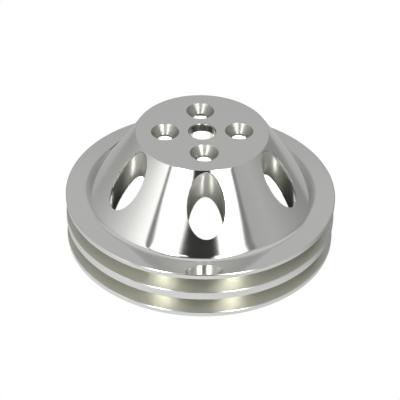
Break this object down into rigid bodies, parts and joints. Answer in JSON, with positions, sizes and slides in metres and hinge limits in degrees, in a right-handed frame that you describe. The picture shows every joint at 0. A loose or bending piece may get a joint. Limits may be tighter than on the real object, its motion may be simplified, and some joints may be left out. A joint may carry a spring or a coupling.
{
  "type": "double-groove v-belt pulley",
  "caption": "Machined aluminium V-belt pulley: flat bolt-on flange with pilot bore, conical skirt with oval windows, hollow back and a double-groove rim.",
  "frame": {"origin": "on the axis of rotation, in the plane of the back face of the rim", "axes": "+Z along the axis of rotation towards the front face of the flange; one screw hole and one window lie towards -Y. The six round windows, bored parallel to the axis, are for lightness and mount nothing"},
  "size_m": [0.166, 0.166, 0.0742],
  "materials": {
    "polished_aluminium": "turned and polished"
  },
  "bodies": {
    "root": {"pulley": "polished_aluminium"}
  },
  "joints": []
}
